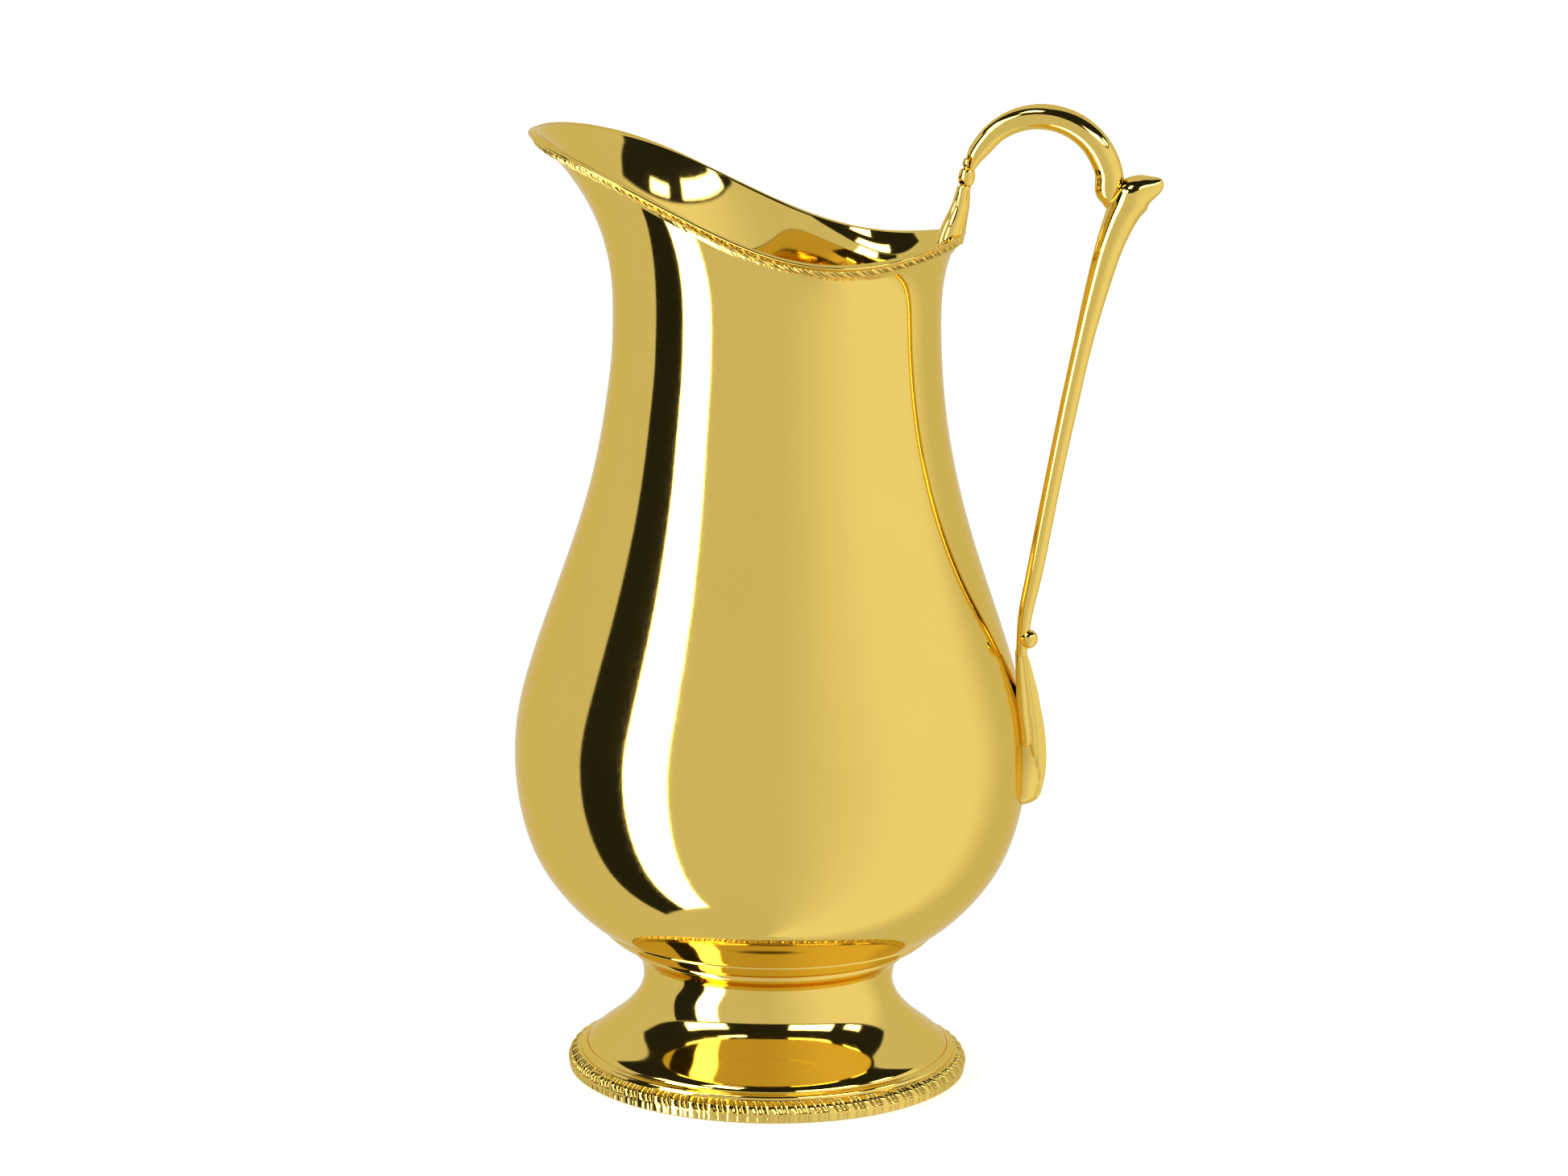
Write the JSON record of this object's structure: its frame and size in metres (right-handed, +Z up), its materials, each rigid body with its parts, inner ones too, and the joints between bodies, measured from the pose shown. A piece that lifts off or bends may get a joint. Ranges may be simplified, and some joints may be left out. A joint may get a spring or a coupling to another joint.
{
  "type": "footed water pitcher",
  "caption": "Footed pitcher with a pear-shaped body, flaring pouring lip, gadroon borders and a high scrolled handle with a leaf terminal.",
  "frame": {"origin": "centre of the foot's flat resting face", "axes": "+Z up along the body's axis, +X towards the handle, -X towards the spout, +Y to the side"},
  "size_m": [0.1808, 0.1466, 0.2802],
  "materials": {
    "vessel_gold": "mirror-polished gold plate on raised sheet",
    "foot_gold": "mirror-polished gold plate on spun sheet",
    "border_gold": "gold plate, polished lobes with darker hollows",
    "handle_gold": "mirror-polished gold plate on castings"
  },
  "bodies": {
    "root": {"body_shell": "vessel_gold", "rim_edge_wire": "border_gold", "rim_gadroon_border": "border_gold", "body_seat_ring": "foot_gold", "stem_collar": "foot_gold", "foot_pedestal": "foot_gold", "foot_step_ring": "foot_gold", "foot_gadroon_border": "border_gold", "foot_base_band": "border_gold", "handle_rim_leaf": "handle_gold", "handle_beads": "handle_gold", "handle_scroll": "handle_gold", "handle_stem": "handle_gold", "handle_ball": "handle_gold", "handle_belly_leaf": "handle_gold"}
  },
  "joints": []
}
